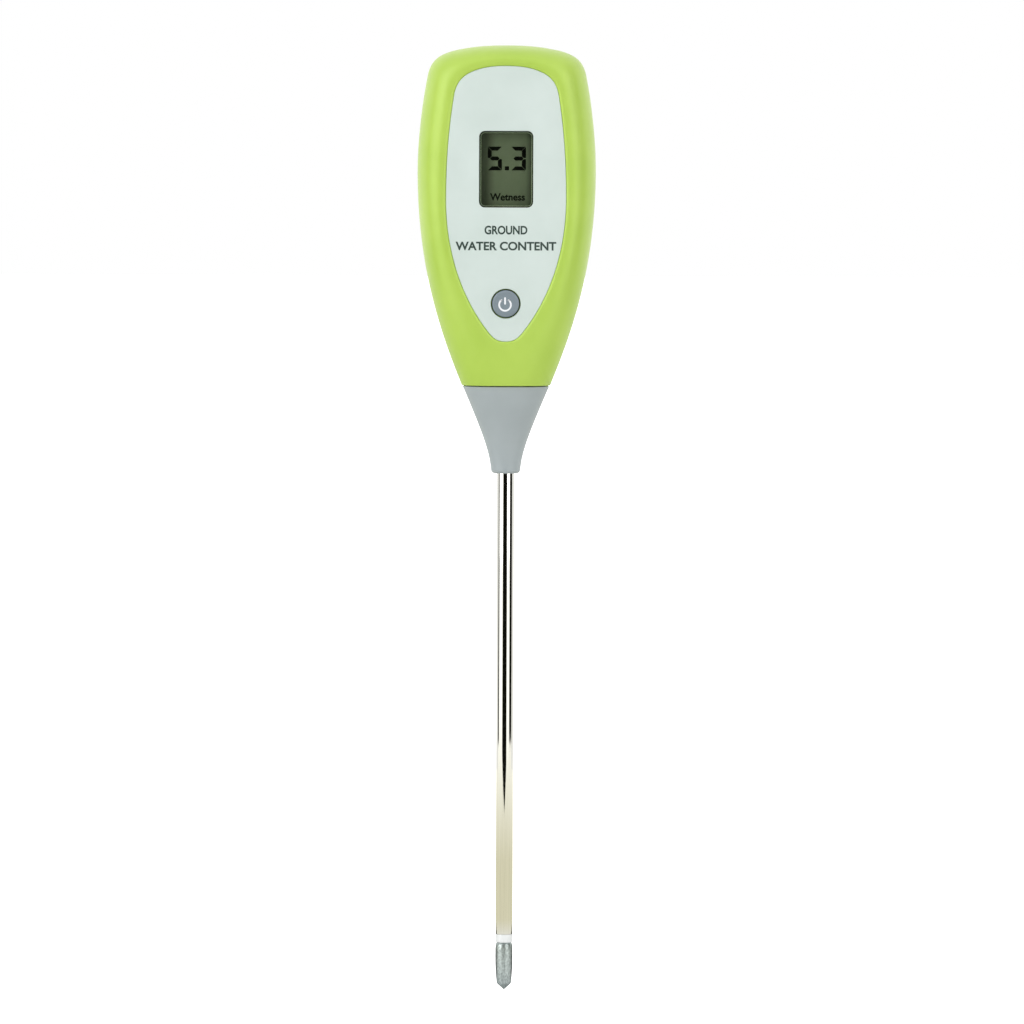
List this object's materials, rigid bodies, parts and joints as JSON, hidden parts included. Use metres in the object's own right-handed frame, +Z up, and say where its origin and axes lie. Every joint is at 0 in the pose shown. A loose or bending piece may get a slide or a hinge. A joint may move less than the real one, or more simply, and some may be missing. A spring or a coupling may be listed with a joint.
{
  "type": "soil moisture meter",
  "caption": "Handheld soil moisture meter: a rounded green casing with a display and a power button, a nose cone and a long thin steel probe with an insulated tip.",
  "frame": {"origin": "the probe's point, on the probe's axis", "axes": "+Z up the probe to the crown of the casing; the display faces -Y; +X to the right of someone who faces the display"},
  "size_m": [0.0572, 0.0277, 0.3052],
  "materials": {
    "green_casing": "fine satin moulded plastic, light yellow-green",
    "plate": "smooth satin plastic, pale grey with a slight green tint",
    "grey_plastic": "satin moulded plastic, mid grey",
    "button_plastic": "satin moulded plastic, blue-grey",
    "clear_window": "clear acrylic, smooth",
    "lcd": "reflective grey-green liquid crystal display",
    "white_plastic": "white moulded plastic",
    "black_plastic": "black plastic and epoxy",
    "black_rubber": "soft black rubber",
    "board": "green solder mask over glass fibre",
    "capacitor": "tan ceramic",
    "steel": "zinc-plated steel",
    "polished_steel": "mirror-polished stainless steel",
    "tip_metal": "dull grey machined metal, lightly marked",
    "brass": "bare brass",
    "cell_wrap": "plain printed film over a steel can",
    "red_wire": "red insulation",
    "black_wire": "black insulation"
  },
  "bodies": {
    "body": {"front_cover": "green_casing", "rear_cover": "green_casing", "face_plate": "plate", "nose_cone": "grey_plastic", "case_screw_1": "steel", "case_screw_2": "steel", "case_screw_3": "steel", "display_window": "clear_window", "lcd_panel": "lcd", "lcd_holder": "white_plastic", "zebra_strip_upper": "black_rubber", "zebra_strip_lower": "black_rubber", "circuit_board": "board", "meter_chip": "black_plastic", "range_resistor": "black_plastic", "filter_capacitor_1": "capacitor", "filter_capacitor_2": "capacitor", "switch_base": "black_plastic", "board_screw_1": "steel", "board_screw_2": "steel", "board_screw_3": "steel", "board_screw_4": "steel", "battery_cell_1": "cell_wrap", "battery_cell_2": "cell_wrap", "battery_spring_1": "steel", "battery_spring_2": "steel", "contact_negative": "steel", "contact_positive": "steel", "contact_bridge": "steel", "probe_tube": "polished_steel", "insulator_ring": "white_plastic", "probe_tip": "tip_metal", "core_rod": "brass", "core_sleeve": "black_plastic", "tube_terminal": "brass", "core_terminal": "brass", "probe_seal": "black_rubber", "battery_lead_positive": "red_wire", "battery_lead_negative": "black_wire", "tube_lead": "black_wire", "core_lead": "red_wire"},
    "button": {"power_button": "button_plastic"},
    "plunger": {"switch_plunger": "white_plastic"},
    "door": {"battery_door": "green_casing"}
  },
  "joints": [
    {"name": "button_press", "type": "slide", "parent": "body", "child": "button", "axis": [0, 1, 0], "range_m": [0, 0.0006], "stiffness_N_per_m": 800},
    {"name": "plunger_press", "type": "slide", "parent": "body", "child": "plunger", "axis": [0, 1, 0], "range_m": [0, 0.0006]},
    {"name": "door_open", "type": "hinge", "parent": "body", "child": "door", "pos_m": [0, 0.0131, 0.2309], "axis": [-1, 0, 0], "range_deg": [0, 55]}
  ],
  "couplings": [
    {"joint": "plunger_press", "follows": "button_press", "ratio": 1}
  ]
}
